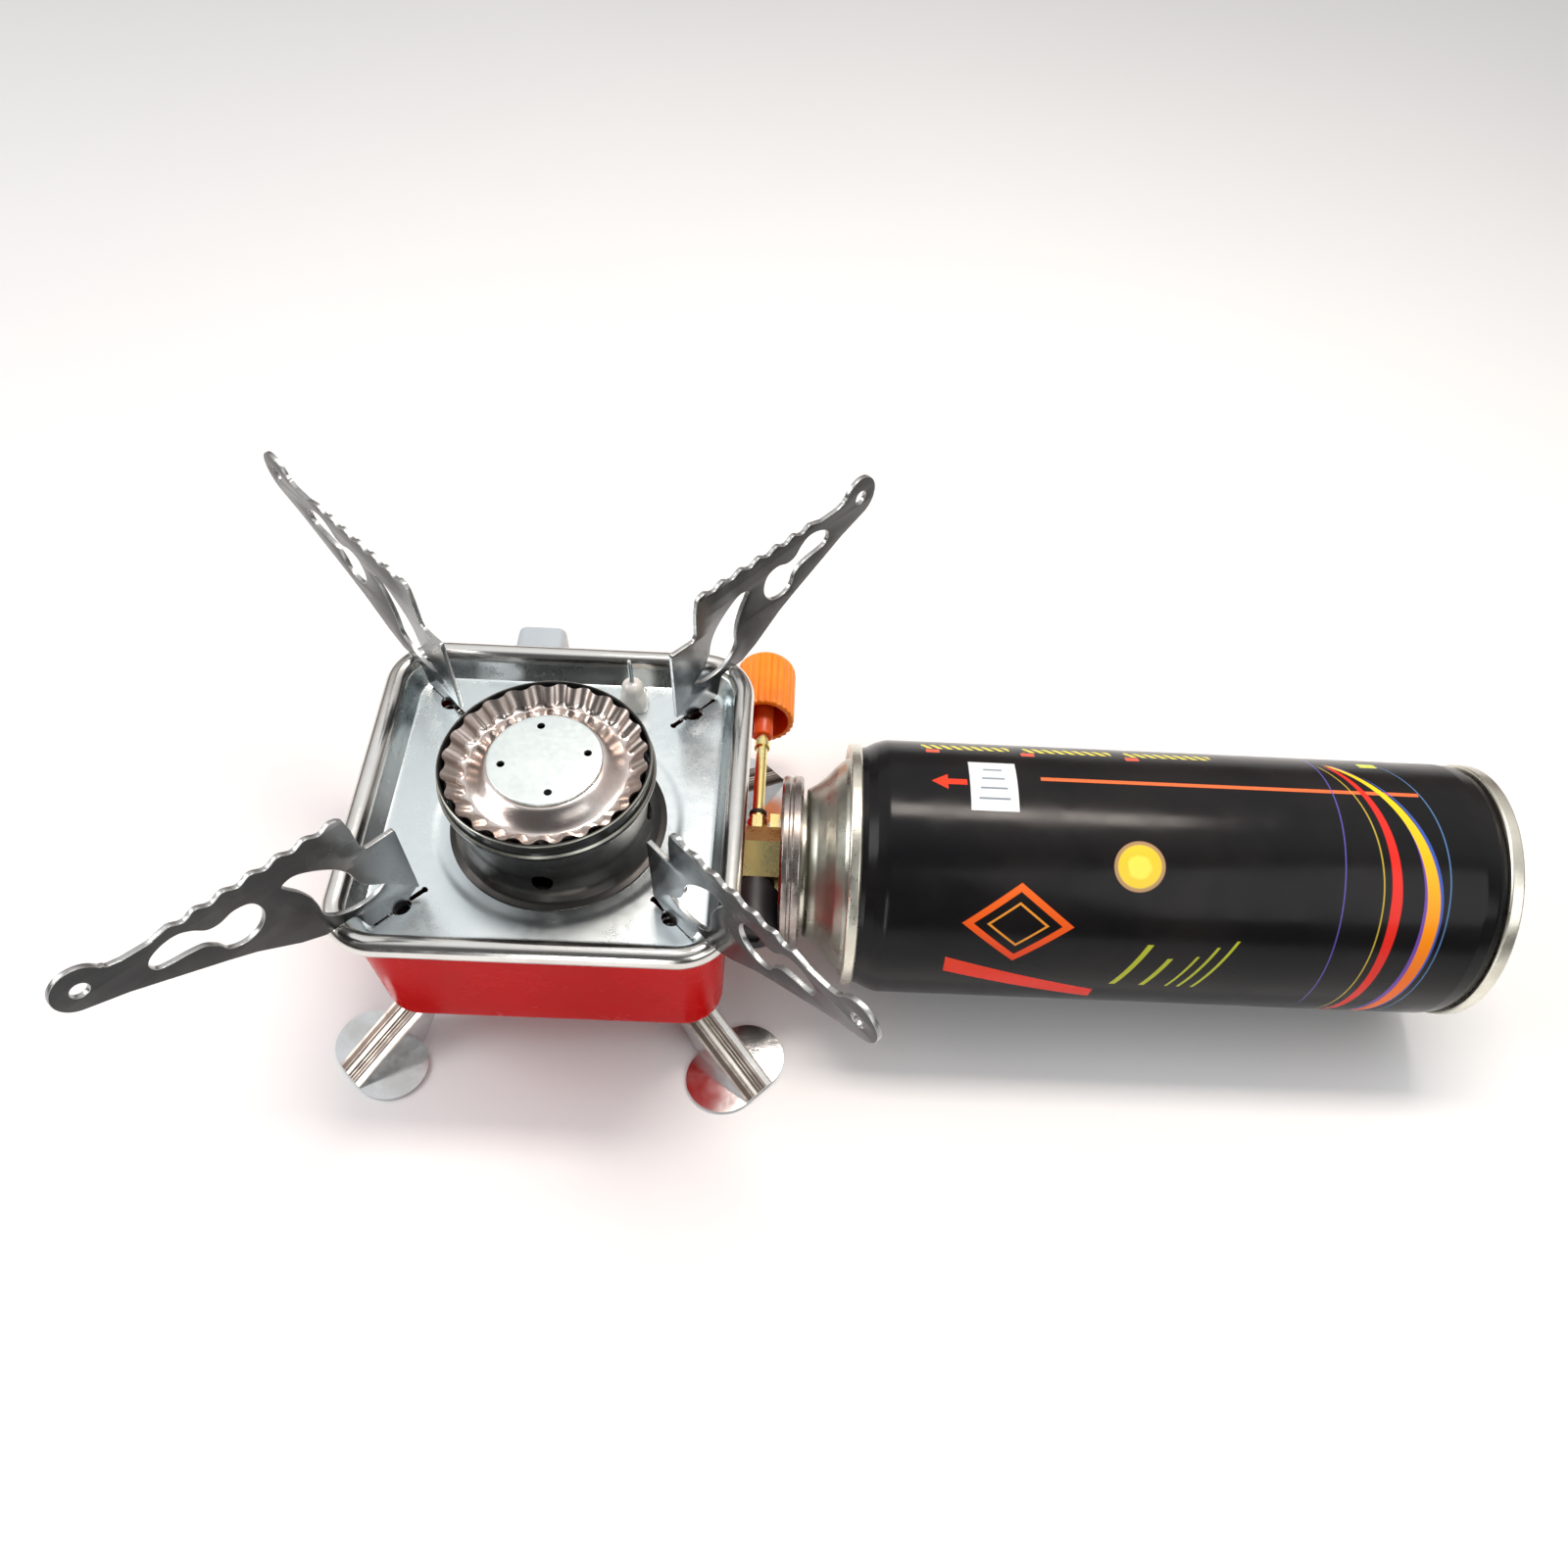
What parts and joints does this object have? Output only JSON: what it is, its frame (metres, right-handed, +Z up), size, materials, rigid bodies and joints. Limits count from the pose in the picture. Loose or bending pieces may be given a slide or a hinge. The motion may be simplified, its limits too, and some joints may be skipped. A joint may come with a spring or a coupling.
{
  "type": "camping stove",
  "caption": "Folding camping stove: square pan body, rolled-rim tray, round fluted burner, swing-out pot arms and legs, side valve, knob, igniter button and a gas cartridge lying beside it.",
  "frame": {"origin": "on the ground under the centre of the square tray, the midpoint of the four arm pivots", "axes": "+X along the cartridge, away from the stove; +Y to the side with the igniter button and the knob; +Z up, the way a pot is lifted off"},
  "size_m": [0.3175, 0.1624, 0.0952],
  "materials": {
    "red_enamel": "glossy baked enamel",
    "bright_tin": "mirror-bright plated sheet with a rolled rim",
    "plated_steel": "polished plated plate with sheared edges",
    "burner_steel": "polished stainless sheet, slightly heat tinted",
    "dark_burner_steel": "blackened, polished steel",
    "black_enamel": "gloss black",
    "steel_hardware": "zinc-plated fixings",
    "brass": "turned brass",
    "white_ceramic": "glazed white ceramic",
    "black_sleeve": "soft insulating sleeve",
    "black_plastic": "moulded, fine grain",
    "adapter_steel": "turned steel",
    "black_rubber": "moulded rubber",
    "orange_plastic": "moulded, ribbed",
    "grey_plastic": "moulded, satin",
    "white_plastic": "moulded",
    "black_paint": "gloss black printed tinplate with plain colour shapes",
    "cartridge_tin": "bare tinplate"
  },
  "bodies": {
    "stove": {"body_shell": "red_enamel", "top_tray": "bright_tin", "leg_rivets": "steel_hardware", "leg_washers": "steel_hardware", "burner_cup": "dark_burner_steel", "mixing_bowl": "burner_steel", "burner_ring": "black_enamel", "flame_insert": "burner_steel", "burner_disc": "burner_steel", "burner_tube": "burner_steel", "burner_screws": "steel_hardware", "gas_jet": "brass", "electrode_insulator": "white_ceramic", "electrode_wire": "steel_hardware", "ignition_lead": "black_sleeve", "piezo_igniter": "black_plastic", "valve_body": "brass", "valve_gland_nut": "brass", "valve_bracket": "steel_hardware", "bracket_screws": "steel_hardware", "regulator_housing": "black_plastic", "adapter_plate": "adapter_steel", "adapter_seal": "black_rubber", "arm_springs": "steel_hardware"},
    "arm_front_left": {"pot_arm_front_left": "plated_steel", "arm_retainer_front_left": "steel_hardware"},
    "arm_front_right": {"pot_arm_front_right": "plated_steel", "arm_retainer_front_right": "steel_hardware"},
    "arm_back_left": {"pot_arm_back_left": "plated_steel", "arm_retainer_back_left": "steel_hardware"},
    "arm_back_right": {"pot_arm_back_right": "plated_steel", "arm_retainer_back_right": "steel_hardware"},
    "leg_front_left": {"leg_front_left": "plated_steel"},
    "leg_front_right": {"leg_front_right": "plated_steel"},
    "leg_back_left": {"leg_back_left": "plated_steel"},
    "leg_back_right": {"leg_back_right": "plated_steel"},
    "valve_spindle": {"valve_stem": "brass", "stem_seal": "black_rubber", "control_knob": "orange_plastic"},
    "igniter_push": {"igniter_button": "grey_plastic", "igniter_plunger": "white_plastic"},
    "cartridge": {"cartridge_can": "black_paint", "cartridge_top_end": "cartridge_tin", "cartridge_base_end": "cartridge_tin", "cartridge_collar": "cartridge_tin", "cartridge_nozzle": "white_plastic"}
  },
  "joints": [
    {"name": "arm_front_left_swing", "type": "hinge", "parent": "stove", "child": "arm_front_left", "pos_m": [-0.0323, -0.0323, 0.0525], "axis": [0, 0, -1], "range_deg": [0, 131.5]},
    {"name": "arm_front_right_swing", "type": "hinge", "parent": "stove", "child": "arm_front_right", "pos_m": [0.0323, -0.0323, 0.0525], "axis": [0, 0, -1], "range_deg": [0, 129.3]},
    {"name": "arm_back_left_swing", "type": "hinge", "parent": "stove", "child": "arm_back_left", "pos_m": [-0.0323, 0.0323, 0.0525], "axis": [0, 0, -1], "range_deg": [0, 131.3]},
    {"name": "arm_back_right_swing", "type": "hinge", "parent": "stove", "child": "arm_back_right", "pos_m": [0.0323, 0.0323, 0.0525], "axis": [0, 0, -1], "range_deg": [0, 132.2]},
    {"name": "leg_front_left_swing", "type": "hinge", "parent": "stove", "child": "leg_front_left", "pos_m": [-0.031, -0.031, 0.0141], "axis": [0, 0, 1], "range_deg": [0, 180]},
    {"name": "leg_front_right_swing", "type": "hinge", "parent": "stove", "child": "leg_front_right", "pos_m": [0.031, -0.031, 0.0141], "axis": [0, 0, -1], "range_deg": [0, 180]},
    {"name": "leg_back_left_swing", "type": "hinge", "parent": "stove", "child": "leg_back_left", "pos_m": [-0.031, 0.031, 0.0141], "axis": [0, 0, -1], "range_deg": [0, 180]},
    {"name": "leg_back_right_swing", "type": "hinge", "parent": "stove", "child": "leg_back_right", "pos_m": [0.031, 0.031, 0.0141], "axis": [0, 0, 1], "range_deg": [0, 180]},
    {"name": "knob_turn", "type": "hinge", "parent": "stove", "child": "valve_spindle", "pos_m": [0.0507, 0.0461, 0.035], "axis": [0, 1, 0], "range_deg": [0, 270]},
    {"name": "igniter_press", "type": "slide", "parent": "stove", "child": "igniter_push", "axis": [0, -1, 0], "range_m": [0, 0.006], "stiffness_N_per_m": 300, "springref_m": -0.002},
    {"name": "cartridge_draw", "type": "slide", "parent": "stove", "child": "cartridge", "axis": [1, 0, 0], "range_m": [0, 0.06]}
  ]
}
